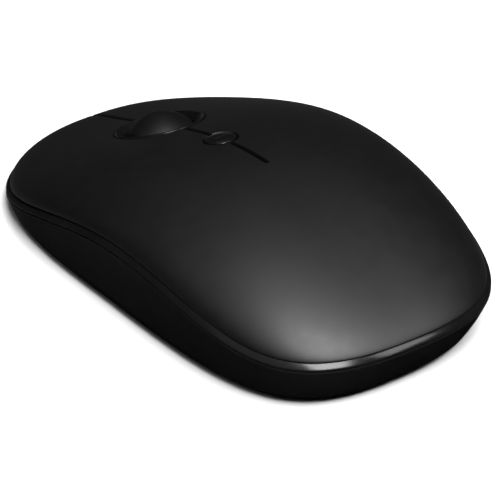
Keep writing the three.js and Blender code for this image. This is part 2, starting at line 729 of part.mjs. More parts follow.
function addWheel() {
  addPiece('wheel_tyre', wheelTyre(), rubberBlack());
  addPiece('wheel_hub', wheelHub(), partBlack());
  addPiece('wheel_axle', axleRod(0, AXLE_LEFT, AXLE_RIGHT), steel());
  addPiece('wheel_carrier', wheelCarrier(), partBlack());
  addPiece('wheel_encoder', wheelEncoder(), partBlack());
  addPiece('wheel_bezel', wheelBezel(), glossBlack());
  addPiece('wheel_switch', tactSwitch(WHEEL_SWITCH, 3), partBlack());
  addPiece('wheel_plunger', tactPlunger(WHEEL_SWITCH), partWhite());
}

function addElectronics() {
  const onBoard = BOARD_TOP + GAP;
  addPiece('circuit_board', circuitBoard(), boardGreen());
  addPiece('speed_button', speedButton(), glossBlack());
  addPiece('speed_switch', tactSwitch([0, SPEED_Y], 4.4), partBlack());
  addPiece('speed_plunger', tactPlunger([0, SPEED_Y]), partWhite());
  addPiece('sensor_chip', boxAt(0, SENSOR_Y, onBoard, [8.6, 7.6, 2]), partBlack());
  addPiece('sensor_lens', sensorLens(), clearLens());
  addPiece('sensor_lamp', sensorLamp(), lampRed());
  addPiece('control_chip', boxAt(...CHIP, onBoard, [6, 6, 1]), partBlack());
  addPiece('crystal', boxAt(...CRYSTAL, onBoard, [3.2, 5, 1.2]), steel());
  addPiece('capacitor', post(2, ...CAPACITOR, onBoard, BOARD_TOP + 5, 18), partBlack());
}

function addPower() {
  addPiece('battery_cell', batteryCell(), cellSkin());
  addPiece('battery_spring', cellSpring(), steel());
  addPiece('battery_contact', contactPlate(CELL_FRONT + 0.4), steel());
  addPiece('power_switch', powerSwitch(), partBlack());
  addPiece('power_slider', powerSlider(), partWhite());
  addPiece('receiver_body', receiverBody(), partBlack());
  addPiece('receiver_plug', receiverPlug(), steel());
}

addCasing();
addWheel();
addElectronics();
addPower();

export default mouse;
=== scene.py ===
"""The looks of a slim wireless mouse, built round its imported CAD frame.

Sizes are in millimetres and become metres when a mesh is made. +Y is the front (the keys), +Z up.
"""
import json
import math

import bpy
import numpy as np
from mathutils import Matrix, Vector


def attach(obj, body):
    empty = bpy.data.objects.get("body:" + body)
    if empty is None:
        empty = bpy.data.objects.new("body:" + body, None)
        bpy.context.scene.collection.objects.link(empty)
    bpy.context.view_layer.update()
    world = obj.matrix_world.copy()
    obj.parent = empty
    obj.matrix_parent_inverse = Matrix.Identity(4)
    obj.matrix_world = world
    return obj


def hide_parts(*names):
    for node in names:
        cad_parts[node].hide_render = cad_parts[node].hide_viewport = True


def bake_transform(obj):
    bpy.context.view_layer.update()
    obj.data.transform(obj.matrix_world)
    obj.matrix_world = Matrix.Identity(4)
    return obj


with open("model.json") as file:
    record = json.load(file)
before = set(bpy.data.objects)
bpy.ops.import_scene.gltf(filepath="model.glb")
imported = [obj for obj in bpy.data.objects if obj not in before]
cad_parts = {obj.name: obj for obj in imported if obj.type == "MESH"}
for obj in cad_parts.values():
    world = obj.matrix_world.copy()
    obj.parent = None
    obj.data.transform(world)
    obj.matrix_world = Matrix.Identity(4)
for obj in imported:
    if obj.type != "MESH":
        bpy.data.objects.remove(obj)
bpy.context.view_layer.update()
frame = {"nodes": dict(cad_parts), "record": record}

MM = 0.001

# ---- Driving dimensions -----------------------------------------------------------------------

# Clearance between pieces that rest on each other.
GAP = 0.05

HALF_LENGTH = 53.0
HALF_WIDTH = 30.3
FRONT_POWER = 2.36
REAR_POWER = 2.48
WIDTH_TERMS = (1, 0.09, 0.23, -0.09)
SEAM_TERMS = (15.5, -5.9, -19.3, 1.6, 11.6)
SEAM_SIDE_LIFT = 0.55
CROWN_TERMS = (8.8, -3.4, 5.9)
CROWN_POWER = 1.96
CROWN_ROUNDNESS = 0.57
REAR_SLOPE = (0.4, 0.3)

COVER_WALL = 1.6
KEY_HINGE_Y = -9.5
SEAM_GAP = 0.2
SEAM_GAP_GROWTH = 0.0072
SLIT_HALF = 0.44
SLIT_END_Y = -8.0
EDGE_ROUND = 0.25

RIM_OUT = 0.82
RIM_CREASE_DROP = 1.15
RIM_BOTTOM_DROP = 1.45
RIM_DEPTH = 1.3
LOWER_TOP_DROP = 1.65
LOWER_WALL = 1.6
BASE_Z = 0.8
FLOOR_Z = 1.9
SIDE_INSET = (2.06, -1.61, 3.24)
SIDE_STRAIGHTNESS = 0.69
BASE_ROUND = 1.2

OPENING_Y = 27.3
OPENING_HOLE = 8.85
BEZEL_OUTER = 8.6
BEZEL_INNER = (6.75, 6.7)
BEZEL_DISH = 1.4
BEZEL_THICKNESS = 0.6
WHEEL_Y = 26.0
WHEEL_Z = 10.9
WHEEL_RADIUS = 7.2
WHEEL_HALF_WIDTH = 6.0
WHEEL_CROWN = 0.075
HUB_RADIUS = 3.9

SPEED_Y = 6.7
SPEED_HOLE = 3.4
SPEED_RADIUS = 2.95

SENSOR_Y = 14.6
BOARD_BOTTOM = 4.6
BOARD_TOP = 5.8
CELL_RADIUS = 5.25
CELL_Z = 7.7
CELL_REAR = -42.8
CELL_FRONT = 1.2
CELL_LENGTH = CELL_FRONT - CELL_REAR
CELL_SHOULDER = CELL_LENGTH - 1.4
CAN_RADIUS = CELL_RADIUS - 0.12
DOOR_X = 5.8
DOOR_REAR = -45.9
DOOR_FRONT = 3.1
DOOR_ROUND = 2.0
CRADLE_X = 6.3
RECEIVER_X = 18.8
RECEIVER_REAR = -16.6
RECEIVER_FRONT = 1.9
RECEIVER_SIZE = (14, 6.5, 6.2)
RECEIVER_Z = BASE_Z + 0.1
PLUG_SIZE = (12.0, 4.5)
PLUG_WALL = 0.3
PLUG_Z = RECEIVER_Z + RECEIVER_SIZE[2] / 2
PLUG_FRONT = RECEIVER_FRONT - RECEIVER_SIZE[1] - GAP
PLUG_LENGTH = PLUG_FRONT - RECEIVER_REAR
POWER_X = -12.5
POWER_Y = 12.0
CASE_SCREW = (19.5, -24)
CASE_SCREW_TIP = 14
BOARD_SCREW = (20, 8)
BOARD_SCREW_TIP = 2.6
HEAD_RADIUS = 2.1
HEAD_HEIGHT = 1.4
SHANK_RADIUS = 0.88
FEET = {
    "front_left": (-12, 42, 14, 5),
    "front_right": (12, 42, 14, 5),
    "rear_left": (-15.5, -35, 5, 12),
    "rear_right": (15.5, -35, 5, 12),
}
FOOT_TOP = 1.05
FOOT_RECESS = 1.1
FOOT_ROUND = 2.4

CAMERA_AT = (-293.39, -425.93, 343.42)
CAMERA_AIM = (-1.46, -4.95, 4.98)
CAMERA_LENS = 239.6


# ---- Surfaces of the body ---------------------------------------------------------------------

def polynomial(terms, u):
    return sum(term * u**k for k, term in enumerate(terms))


def superellipse(angle, power):
    """Points of a squared-off circle of radius 1 at each angle; a power of 2 is a true circle."""
    c, s = np.cos(angle), np.sin(angle)
    reach = (np.abs(c) ** power + np.abs(s) ** power) ** (-1 / power)
    return reach * c, reach * s


def outline(angle):
    """x, y, length share u and width share a of the seam outline at each angle."""
    a, u = superellipse(angle, np.where(np.sin(angle) > 0, FRONT_POWER, REAR_POWER))
    return a * HALF_WIDTH * polynomial(WIDTH_TERMS, u), u * HALF_LENGTH, u, a


def seam_height(u, a):
    return polynomial(SEAM_TERMS, u) + SEAM_SIDE_LIFT * a * a


def angle_towards(x, y):
    """The outline angle that points at each place, for x of 0 or more, found by halving."""
    halvings = 48
    low = np.full(np.shape(x), -math.pi / 2)
    high = -low
    for _ in range(halvings):
        middle = (low + high) / 2
        edge_x, edge_y, _, _ = outline(middle)
        below = edge_y * x < y * edge_x
        low, high = np.where(below, middle, low), np.where(below, high, middle)
    return (low + high) / 2


def cover_height(x, y):
    """Height of the cover's outside over each place."""
    x = np.abs(np.asarray(x, float))
    y = np.asarray(y, float)
    angle = angle_towards(x, y)
    edge_x, edge_y, u, a = outline(angle)
    share = np.minimum(np.hypot(x, y) / np.hypot(edge_x, edge_y), 1)
    rear = np.maximum(-u, 0) ** 2
    power, roundness = CROWN_POWER + REAR_SLOPE[0] * rear, CROWN_ROUNDNESS + REAR_SLOPE[1] * rear
    rise = polynomial(CROWN_TERMS, u * share) * (1 - share**power) ** roundness
    return seam_height(u * share, a * share) + rise


def beside_seam(angle, outward, drop):
    """Points beside the seam, moved outwards along the outline's normal and down."""
    step = 1e-3
    x, y, u, a = outline(angle)
    before_x, before_y, _, _ = outline(angle - step)
    after_x, after_y, _, _ = outline(angle + step)
    nx, ny = after_y - before_y, before_x - after_x
    length = np.hypot(nx, ny)
    return np.stack([x + nx / length * outward, y + ny / length * outward, seam_height(u, a) - drop], -1)


def side_points(angle, down, inward):
    """Points of the lower shell's side, from its top edge (0) to its base (1)."""
    _, _, u, _ = outline(angle)
    middle, front, rear = SIDE_INSET
    inset = middle + front * np.maximum(u, 0) ** 2 + rear * np.maximum(-u, 0) ** 2
    taper = inset * (SIDE_STRAIGHTNESS * down + (1 - SIDE_STRAIGHTNESS) * down**2)
    points = beside_seam(angle, RIM_OUT - taper - inward, LOWER_TOP_DROP)
    points[..., 2] += (BASE_Z - points[..., 2]) * down
    return points


def round_angles(count):
    return np.arange(count) / count * 2 * math.pi


# ---- Mesh building ----------------------------------------------------------------------------

def signed_volume(points, faces):
    """Six times the volume, and negative when the faces look inwards."""
    total = 0.0
    for face in faces:
        corners = points[list(face)]
        total += np.einsum("i,ji->", corners[0], np.cross(corners[1:-1], corners[2:]))
    return total


def make_object(name, points, faces, sharp_degrees=35):
    """A closed solid from points in millimetres, smooth but for edges sharper than the angle."""
    points = np.asarray(points, float)
    if signed_volume(points, faces) < 0:
        faces = [face[::-1] for face in faces]
    mesh = bpy.data.meshes.new(name)
    mesh.from_pydata((points * MM).tolist(), [], [[int(i) for i in face] for face in faces])
    mesh.validate()
    piece = bpy.data.objects.new(name, mesh)
    bpy.context.scene.collection.objects.link(piece)
    finish_shading(piece, sharp_degrees)
    return piece


def finish_shading(piece, sharp_degrees):
    piece.data.shade_smooth()
    piece.data.set_sharp_from_angle(angle=math.radians(sharp_degrees))


def apply_modifiers(piece):
    """Replaces a piece's mesh by what its modifiers make of it."""
    graph = bpy.context.evaluated_depsgraph_get()
    mesh = bpy.data.meshes.new_from_object(piece.evaluated_get(graph))
    piece.modifiers.clear()
    old = piece.data
    piece.data = mesh
    bpy.data.meshes.remove(old)


def shade_flats(piece):
    """Smooth shading in which a large flat face stays flat beside its rounded edges."""
    finish_shading(piece, 30)
    modifier = piece.modifiers.new("flats", "WEIGHTED_NORMAL")
    modifier.keep_sharp = True
    apply_modifiers(piece)


def loft(rings, closed=False):
    """Points and faces of a skin through rings that run anticlockwise seen from above."""
    rows, count = len(rings), len(rings[0])
    points = np.concatenate(rings)
    faces = []
    for k in range(rows if closed else rows - 1):
        here, after = k * count, (k + 1) % rows * count
        for i in range(count):
            j = (i + 1) % count
            faces.append((here + i, after + i, after + j, here + j))
    if not closed:
        faces.append(tuple(range(count)))
        faces.append(tuple(range((rows - 1) * count, rows * count))[::-1])
    return points, faces


def turned(profile, count=96):
    """Rings of a shape turned about the vertical axis from (radius, height) pairs."""
    angle = round_angles(count)
    return [np.stack([r * np.cos(angle), r * np.sin(angle), np.full(count, z)], -1) for r, z in profile]


def rounded_outline(x, y, width, length, radius, grow=0.0, steps=8):
    """Plan points of a rectangle with round corners, grown by a margin all round."""
    radius = max(radius + grow, 0.01)
    half = (width / 2 + grow - radius, length / 2 + grow - radius)
    turn = np.linspace(0, math.pi / 2, steps)
    corners = []
    for quarter, (sx, sy) in enumerate(((1, 1), (-1, 1), (-1, -1), (1, -1))):
        angle = turn + quarter * math.pi / 2
        corners.append(np.stack([
            x + sx * half[0] + radius * np.cos(angle), y + sy * half[1] + radius * np.sin(angle)], -1))
    return np.concatenate(corners)


def rounded_plate(x, y, width, length, radius, levels, steps=8):
    """Rings of a plate from (height, grow) pairs, top first."""
    rings = []
    for z, grow in levels:
        plan = rounded_outline(x, y, width, length, radius, grow, steps)
        rings.append(np.concatenate([plan, np.full((len(plan), 1), z)], 1))
    return rings


def soft_levels(bottom, top, bevel, steps=3):
    """(height, grow) pairs, top first, of a solid whose top and bottom edges are rounded."""
    levels = []
    for turn in np.linspace(math.pi / 2, 0, steps + 1):
        levels.append((top - bevel * (1 - math.sin(turn)), -bevel * (1 - math.cos(turn))))
    return levels + [(top + bottom - z, grow) for z, grow in levels[::-1]]


def soft_box(x, y, width, length, bottom, top, bevel=0.15, radius=0.2):
    return rounded_plate(x, y, width, length, radius, soft_levels(bottom, top, bevel), 4)


def mouth(x, y, width, length, radius, depth, bevel=0.2, bottom=BASE_Z):
    """Rings of a cutter for a pocket in the base, flared by a chamfer where it breaks the surface."""
    overshoot = 1
    levels = [(depth, 0), (bottom + bevel, 0), (bottom, bevel), (bottom - overshoot, bevel)]
    return rounded_plate(x, y, width, length, radius, levels)


def facing_rear(rings, x, y, z):
    """Rings built upwards, turned to run towards the rear from a place."""
    return [np.stack([ring[:, 0] + x, y - ring[:, 2], z + ring[:, 1]], -1) for ring in rings]


def facing_front(rings, x, y, z):
    return [np.stack([ring[:, 0] + x, y + ring[:, 2], z - ring[:, 1]], -1) for ring in rings]


def moved(rings, x, y):
    return [ring + np.array([x, y, 0]) for ring in rings]


def combine(piece, rings, operation):
    """Joins a closed lofted solid to the piece, or cuts it out."""
    other = make_object("cutter", *loft(rings))
    modifier = piece.modifiers.new("combine", "BOOLEAN")
    modifier.operation = operation
    modifier.solver = "EXACT"
    modifier.object = other
    apply_modifiers(piece)
    bpy.data.objects.remove(other)


def place(piece, body, slot, *nodes):
    """Gives a piece its material, puts it on its body and shows it instead of its CAD nodes."""
    piece.data.materials.clear()
    piece.data.materials.append(MATERIALS[slot])
    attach(piece, body)
    if nodes:
        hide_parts(*nodes)


# ---- Materials --------------------------------------------------------------------------------

def black(level):
    """A neutral black with a trace of blue, as linear light."""
    return (level, level, level * 1.05)


def shader_of(material):
    return material.node_tree.nodes["Principled BSDF"]


def object_place(material, stretch=(1, 1, 1)):
    """The object's own coordinates, in metres, squeezed along each axis by the stretch."""
    tree = material.node_tree
    place_node = tree.nodes.new("ShaderNodeTexCoord")
    mapping = tree.nodes.new("ShaderNodeMapping")
    mapping.inputs["Scale"].default_value = stretch
    tree.links.new(place_node.outputs["Object"], mapping.inputs["Vector"])
    return mapping.outputs["Vector"]


def noise(material, size, detail=3.0, stretch=(1, 1, 1)):
    """Noise with features of a size in millimetres."""
    tree = material.node_tree
    texture = tree.nodes.new("ShaderNodeTexNoise")
    texture.inputs["Scale"].default_value = 1 / (size * MM)
    texture.inputs["Detail"].default_value = detail
    tree.links.new(object_place(material, stretch), texture.inputs["Vector"])
    return texture.outputs["Fac"]


def ranged(material, value, low, high, from_low=0.3, from_high=0.7):
    tree = material.node_tree
    node = tree.nodes.new("ShaderNodeMapRange")
    node.inputs["From Min"].default_value = from_low
    node.inputs["From Max"].default_value = from_high
    node.inputs["To Min"].default_value = low
    node.inputs["To Max"].default_value = high
    tree.links.new(value, node.inputs["Value"])
    return node.outputs["Result"]


def mixed(material, factor, first, second):
    """A colour between two, each a colour or another node's output."""
    tree = material.node_tree
    mix = tree.nodes.new("ShaderNodeMix")
    mix.data_type = "RGBA"
    tree.links.new(factor, mix.inputs["Factor"])
    for socket, value in ((mix.inputs["A"], first), (mix.inputs["B"], second)):
        if isinstance(value, tuple):
            socket.default_value = (*value, 1)
        else:
            tree.links.new(value, socket)
    return mix.outputs["Result"]


def worn_edges(material, amount):
    """A mask of the convex edges, broken up by noise."""
    tree = material.node_tree
    geometry = tree.nodes.new("ShaderNodeNewGeometry")
    edges = ranged(material, geometry.outputs["Pointiness"], 0, amount, 0.515, 0.6)
    broken = ranged(material, noise(material, 0.8), 0.2, 1)
    product = tree.nodes.new("ShaderNodeMath")
    product.operation = "MULTIPLY"
    tree.links.new(edges, product.inputs[0])
    tree.links.new(broken, product.inputs[1])
    return product.outputs["Value"]


def surface(name, dark, light, roughness, grain, specular=0.5, metallic=0.0, wear=0.15, stretch=(1, 1, 1)):
    """A material mottled between two colours and two roughnesses, grained and worn at its edges.

    The grain is (size, depth) in millimetres, and stretch draws its noise out along an axis.
    """
    material = bpy.data.materials.new(name)
    material.use_nodes = True
    tree = material.node_tree
    shader = shader_of(material)
    shader.inputs["Metallic"].default_value = metallic
    shader.inputs["Specular IOR Level"].default_value = specular
    material.diffuse_color = (*light, 1)
    mottled = mixed(material, ranged(material, noise(material, 9), 0, 1), dark, light)
    rubbed = tuple(min(channel * 3 + 0.01, 1.0) for channel in light)
    colored = mixed(material, worn_edges(material, wear), mottled, rubbed)
    tree.links.new(colored, shader.inputs["Base Color"])
    smears = noise(material, 3, 4.0, stretch)
    tree.links.new(ranged(material, smears, *roughness), shader.inputs["Roughness"])
    size, depth = grain
    bump = tree.nodes.new("ShaderNodeBump")
    bump.name = "grain"
    bump.inputs["Strength"].default_value = 0.6
    bump.inputs["Distance"].default_value = depth * MM
    tree.links.new(noise(material, size, 2.0, stretch), bump.inputs["Height"])
    tree.links.new(bump.outputs["Normal"], shader.inputs["Normal"])
    return material


def cover_satin():
    return surface("cover_satin", black(0.0013), black(0.0018), (0.46, 0.5), (0.24, 0.012))


def trim_gloss():
    return surface(
        "trim_gloss", black(0.004), black(0.0056), (0.14, 0.22), (0.9, 0.003), specular=0.22)


def shell_matte():
    return surface(
        "shell_matte", black(0.0048), black(0.0058), (0.36, 0.42), (0.3, 0.02), specular=0.24, wear=0.1)


def wheel_rubber():
    return surface(
        "wheel_rubber", black(0.0025), black(0.0036), (0.46, 0.54), (0.18, 0.015), specular=0.22, wear=0.05)


def foot_slide():
    """Slick plastic, scratched along the mouse's length by the desk."""
    return surface(
        "foot_slide", black(0.018), black(0.03), (0.22, 0.45), (0.5, 0.006), stretch=(1, 0.06, 1))


def part_black():
    return surface("part_black", black(0.008), black(0.014), (0.4, 0.55), (0.35, 0.02))


def part_white():
    return surface(
        "part_white", (0.6, 0.59, 0.55), (0.7, 0.69, 0.65), (0.38, 0.5), (0.35, 0.015), wear=0.05)


def bright_steel():
    """Drawn steel, brushed across the mouse."""
    return surface(
        "bright_steel", (0.5, 0.5, 0.5), (0.62, 0.62, 0.63), (0.2, 0.36), (0.25, 0.006),
        metallic=1.0, stretch=(0.08, 1, 1))


def contact_gold():
    return surface(
        "contact_gold", (0.72, 0.5, 0.2), (0.85, 0.62, 0.28), (0.18, 0.32), (0.2, 0.004),
        metallic=1.0, stretch=(1, 0.1, 1))


def board_green():
    """Solder mask over copper tracks that show as paler cells."""
    material = surface(
        "board_green", (0.005, 0.06, 0.022), (0.007, 0.075, 0.03), (0.22, 0.34), (0.5, 0.01))
    tree = material.node_tree
    shader = shader_of(material)
    tracks = tree.nodes.new("ShaderNodeTexBrick")
    tracks.inputs["Scale"].default_value = 260
    tracks.inputs["Mortar Size"].default_value = 0.12
    tracks.inputs["Color1"].default_value = (0, 0, 0, 1)
    tracks.inputs["Color2"].default_value = (0.25, 0.25, 0.25, 1)
    tracks.inputs["Mortar"].default_value = (1, 1, 1, 1)
    tree.links.new(object_place(material), tracks.inputs["Vector"])
    mask = shader.inputs["Base Color"].links[0].from_socket
    colored = mixed(material, tracks.outputs["Color"], mask, (0.012, 0.14, 0.05))
    tree.links.new(colored, shader.inputs["Base Color"])
    return material


def clear_lens():
    material = surface(
        "clear_lens", (0.85, 0.9, 0.93), (0.93, 0.96, 0.98), (0.03, 0.08), (1.5, 0.001), wear=0.0)
    shader_of(material).inputs["Transmission Weight"].default_value = 1.0
    shader_of(material).inputs["IOR"].default_value = 1.49
    return material


def lamp_red():
    material = surface(
        "lamp_red", (0.42, 0.008, 0.01), (0.55, 0.012, 0.014), (0.08, 0.16), (1.2, 0.002), wear=0.0)
    shader_of(material).inputs["Transmission Weight"].default_value = 0.6
    return material


def cell_sleeve():
    """Shrunk film: dark with an ochre band near the button end."""
    material = surface(
        "cell_sleeve", (0.012, 0.03, 0.02), (0.018, 0.042, 0.028), (0.2, 0.34), (1.1, 0.006))
    tree = material.node_tree
    shader = shader_of(material)
    split = tree.nodes.new("ShaderNodeSeparateXYZ")
    tree.links.new(object_place(material), split.inputs["Vector"])
    band_start, band_stop = -11.0, -10.9
    band = ranged(material, split.outputs["Y"], 0, 1, band_start * MM, band_stop * MM)
    body = shader.inputs["Base Color"].links[0].from_socket
    tree.links.new(mixed(material, band, body, (0.42, 0.2, 0.035)), shader.inputs["Base Color"])
    return material


MATERIALS = {
    make.__name__: make()
    for make in (
        cover_satin, trim_gloss, shell_matte, wheel_rubber, foot_slide, part_black, part_white,
        bright_steel, contact_gold, board_green, clear_lens, lamp_red, cell_sleeve,
    )
}


# ---- Top cover --------------------------------------------------------------------------------

def cut_distance(x, y):
    """Distance of each place from the slit, the speed button's hole and the wheel's opening."""
    slit = np.hypot(x, np.minimum(y - SLIT_END_Y, 0)) - SLIT_HALF
    speed = np.hypot(x, y - SPEED_Y) - SPEED_HOLE
    opening = np.hypot(x, y - OPENING_Y) - OPENING_HOLE
    return np.maximum(np.minimum(np.minimum(slit, speed), opening), 0)


def edge_drop(distance):
    """How far a rounded edge falls below the surface at a distance from the cut."""
    near = np.maximum(EDGE_ROUND - distance, 0)
    return EDGE_ROUND - np.sqrt(np.maximum(EDGE_ROUND**2 - near**2, 0))


def half_chord(radius):
    """How far from a hole's middle the slit runs into its edge."""
    return math.sqrt(radius**2 - SLIT_HALF**2)


def arc_points(centre_y, radius, start, stop, count):
    """Points of an arc about the centreline; an angle of 0 points to the side and 90 to the front."""
    angle = np.linspace(start, stop, count)
    return np.stack([radius * np.cos(angle), centre_y + radius * np.sin(angle)], -1)


def line_points(start, stop, count):
    """Points of a straight line, closer together towards both ends."""
    share = (1 - np.cos(np.linspace(0, math.pi, count))) / 2
    return np.array(start) + share[:, None] * (np.array(stop) - np.array(start))


def cover_sections(last_x):
    """The cuts beside the half cover from rear to front, each with its first and last outline angle."""
    focus_y = -36.0
    slit_stop = SLIT_END_Y - SLIT_HALF
    speed_chord, opening_chord = half_chord(SPEED_HOLE), half_chord(OPENING_HOLE)
    speed_edge = math.acos(SLIT_HALF / SPEED_HOLE)
    opening_edge = math.acos(SLIT_HALF / OPENING_HOLE)
    opening_turn = math.acos(last_x / OPENING_HOLE)
    slit_to_speed = line_points((SLIT_HALF, SLIT_END_Y), (SLIT_HALF, SPEED_Y - speed_chord), 20)
    speed_to_opening = line_points(
        (SLIT_HALF, SPEED_Y + speed_chord), (SLIT_HALF, OPENING_Y - opening_chord), 16)
    return [
        (line_points((0, focus_y), (0, slit_stop), 34), -math.pi / 2, -0.3),
        (arc_points(SLIT_END_Y, SLIT_HALF, -math.pi / 2, 0, 9), -0.3, -0.24),
        (slit_to_speed, -0.24, 0.0),
        (arc_points(SPEED_Y, SPEED_HOLE, -speed_edge, speed_edge, 36), 0.0, 0.2),
        (speed_to_opening, 0.2, 0.32),
        (arc_points(OPENING_Y, OPENING_HOLE, -opening_edge, 0, 34), 0.32, 0.55),
        (arc_points(OPENING_Y, OPENING_HOLE, 0, opening_turn, 40), 0.55, 1.51),
    ]


def cover_lines():
    """Both ends of each line of the half cover's grid: on the cuts, and as an outline angle."""
    near_edge = np.array([1.1, 0.75, 0.5, 0.32, 0.2, 0.12, 0.05, 0]) + SLIT_HALF
    starts, angles = [], []
    for number, (points, first, last) in enumerate(cover_sections(near_edge[0])):
        along = np.concatenate([[0], np.cumsum(np.hypot(*np.diff(points, axis=0).T))])
        section_angles = first + (last - first) * along / along[-1]
        skip = 0 if number == 0 else 1
        starts.append(points[skip:])
        angles.append(section_angles[skip:])
    front_x = near_edge[1:]
    just_inside = HALF_LENGTH - 0.001
    starts.append(np.stack([front_x, OPENING_Y + np.sqrt(OPENING_HOLE**2 - front_x**2)], -1))
    angles.append(angle_towards(front_x, np.full(len(front_x), just_inside)))
    return np.concatenate(starts), np.concatenate(angles)


def cover_grid():
    """The half cover's outside and inside as two grids of points, for x of 0 or more."""
    starts, angles = cover_lines()
    edge_x, edge_y, u, a = outline(angles)
    stops = np.stack([edge_x, edge_y], -1)
    length = np.hypot(*(stops - starts).T)
    near = np.array([0, 0.03, 0.07, 0.12, 0.17, 0.22, 0.3, 0.5, 0.9])
    steps, crowding = 48, 2.1
    rest = 1 - (1 - np.arange(1, steps + 1) / steps) ** crowding
    first = near[None] / length[:, None]
    share = np.concatenate([first, first[:, -1:] + (1 - first[:, -1:]) * rest], 1)
    plan = starts[:, None] + share[..., None] * (stops - starts)[:, None]
    x, y = plan[..., 0], plan[..., 1]
    z = cover_height(x, y)
    z[:, -1] = seam_height(u, a)
    outside = np.stack([x, y, z - edge_drop(cut_distance(x, y))], -1)
    inside_z = np.maximum(z - COVER_WALL, z[:, -1:])
    inside = np.stack([x * (1 - COVER_WALL / HALF_WIDTH), y * (1 - COVER_WALL / HALF_LENGTH), inside_z], -1)
    return outside, inside


def slab_faces(rows, columns):
    """Faces of a closed slab between two grids of the same size, outside first."""
    def number(layer, i, j):
        return (layer * rows + i) * columns + j

    faces = []
    for i in range(rows - 1):
        for j in range(columns - 1):
            a, b, c, d = (number(0, *at) for at in ((i, j), (i, j + 1), (i + 1, j + 1), (i + 1, j)))
            faces.append((a, b, c, d))
            a, b, c, d = (number(1, *at) for at in ((i, j), (i + 1, j), (i + 1, j + 1), (i, j + 1)))
            faces.append((a, b, c, d))
    for i in range(rows - 1):
        faces.append((number(0, i, 0), number(0, i + 1, 0), number(1, i + 1, 0), number(1, i, 0)))
        last = columns - 1
        faces.append((number(0, i + 1, last), number(0, i, last), number(1, i, last), number(1, i + 1, last)))
    for j in range(columns - 1):
        faces.append((number(0, 0, j + 1), number(0, 0, j), number(1, 0, j), number(1, 0, j + 1)))
        last = rows - 1
        faces.append((number(0, last, j), number(0, last, j + 1), number(1, last, j + 1), number(1, last, j)))
    return faces


def match_centreline(piece, outside_count):
    """Makes both halves' outside normals agree where they meet at x = 0 behind the slit."""
    on_centreline = 1e-7
    mesh = piece.data
    normals = np.zeros((len(mesh.loops), 3))
    for polygon in mesh.polygons:
        if any(vertex >= outside_count for vertex in polygon.vertices):
            continue
        for loop in polygon.loop_indices:
            vertex = mesh.vertices[mesh.loops[loop].vertex_index]
            if abs(vertex.co.x) < on_centreline:
                normal = mesh.corner_normals[loop].vector.copy()
                normal.x = 0
                normals[loop] = normal.normalized()
    mesh.normals_split_custom_set(normals.tolist())


def cover_half(hand, side, outside, inside):
    rows, columns, _ = outside.shape
    points = np.concatenate([outside.reshape(-1, 3), inside.reshape(-1, 3)])
    points[:, 0] *= side
    piece = make_object(f"top_cover_{hand}", points, slab_faces(rows, columns), 40)
    match_centreline(piece, rows * columns)
    piece.data.materials.append(MATERIALS["cover_satin"])
    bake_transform(piece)
    return piece


def top_cover():
    outside, inside = cover_grid()
    left = cover_half("left", -1, outside, inside)
    right = cover_half("right", 1, outside, inside)
    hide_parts("palm_cover", "left_key")
    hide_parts("right_key")


def slit_guard():
    """A tongue fixed under the palm cover that closes the slit from below, behind the speed button."""
    rear, front, width, thickness = -15.0, 3.0, 3.2, 1.0
    fall = 0.9
    x, y = rounded_outline(0, (rear + front) / 2, width, front - rear, 0.5).T
    roof = cover_height(x, y) - COVER_WALL - GAP - fall * (y - rear) / (front - rear)
    rings = [np.stack([x, y, roof - drop], -1) for drop in (0, thickness)]
    place(make_object("slit_guard", *loft(rings)), "casing", "cover_satin")


# ---- Rim and lower shell ----------------------------------------------------------------------

def rim_band():
    """The band under the cover. Its gap widens to the front, so that the keys can go down."""
    angle = round_angles(360)
    _, y, _, _ = outline(angle)
    gap = SEAM_GAP + SEAM_GAP_GROWTH * np.maximum(y - KEY_HINGE_Y, 0)
    soft, corner, fullness = 0.1, -0.1, 0.02
    face_in, face_out = corner + soft / 2, RIM_OUT - 0.08
    top_drop, low_drop = gap + soft * 0.8, RIM_CREASE_DROP - 0.12
    rings = [
        beside_seam(angle, -RIM_DEPTH, gap),
        beside_seam(angle, corner - 2 * soft, gap),
        beside_seam(angle, corner - soft / 2, gap + soft / 5),
        beside_seam(angle, face_in, top_drop),
    ]
    for share in (0.25, 0.5, 0.75, 1):
        bulge = fullness * math.sin(math.pi * share)
        rings.append(beside_seam(
            angle, face_in + (face_out - face_in) * share + bulge,
            top_drop + (low_drop - top_drop) * share - bulge / 2))
    rings += [
        beside_seam(angle, RIM_OUT - 0.015, RIM_CREASE_DROP - 0.04),
        beside_seam(angle, RIM_OUT, RIM_CREASE_DROP + 0.04),
        beside_seam(angle, RIM_OUT - 0.02, RIM_CREASE_DROP + 0.12),
        beside_seam(angle, RIM_OUT - 0.06, RIM_BOTTOM_DROP),
        beside_seam(angle, -RIM_DEPTH, RIM_BOTTOM_DROP),
    ]
    piece = make_object("rim_band", *loft(rings, closed=True), 50)
    place(piece, "casing", "trim_gloss", "rim_trim")


